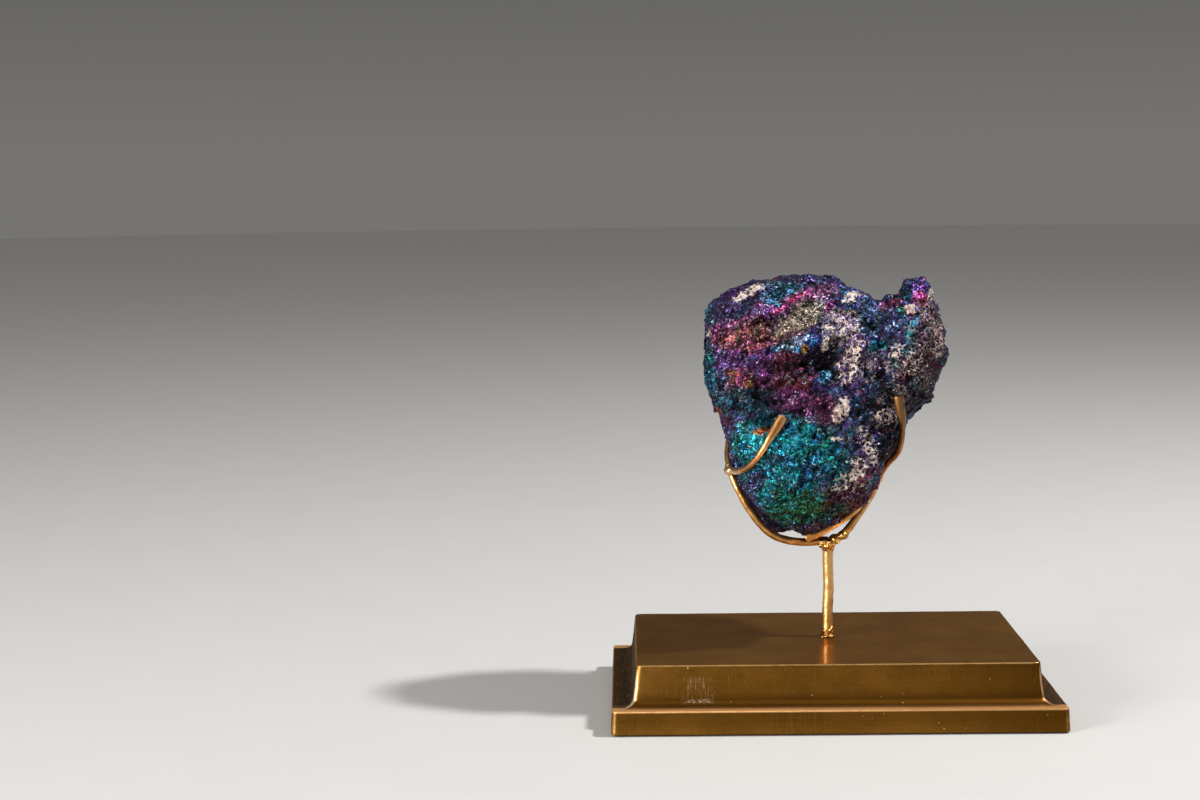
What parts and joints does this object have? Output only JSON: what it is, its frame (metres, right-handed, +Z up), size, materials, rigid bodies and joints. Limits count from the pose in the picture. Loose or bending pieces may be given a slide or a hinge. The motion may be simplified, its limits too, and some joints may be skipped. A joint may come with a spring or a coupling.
{
  "type": "peacock ore specimen on a brass claw stand",
  "caption": "Rough lump of iridescent peacock ore held by bent brass claws on a rod stem and a stepped rectangular base.",
  "frame": {"origin": "on the underside of the felt, at the middle of the base", "axes": "+X to the right along the base's long side, +Y from the stone's best face to its back, +Z up"},
  "size_m": [0.203, 0.1324, 0.1988],
  "materials": {
    "aged_brass": "satin cast and brushed brass, browned with age, edges worn bright",
    "wire_brass": "drawn brass rod, hand bent and hammered, lightly lacquered",
    "braze": "rough pale brazing metal, unpolished",
    "felt": "thin dark felt",
    "ore": "grainy metallic tarnish in blue, purple, magenta and turquoise, with dull pale crust"
  },
  "bodies": {
    "root": {"base": "aged_brass", "felt_pad": "felt", "stem": "wire_brass", "stem_foot_braze": "braze", "crotch_braze": "braze", "left_arm": "wire_brass", "left_front_claw": "wire_brass", "left_fork_braze": "braze", "right_arm": "wire_brass", "right_back_claw": "wire_brass", "right_fork_braze": "braze", "foot_rest": "wire_brass", "foot_rest_braze": "braze", "stone": "ore"}
  },
  "joints": []
}
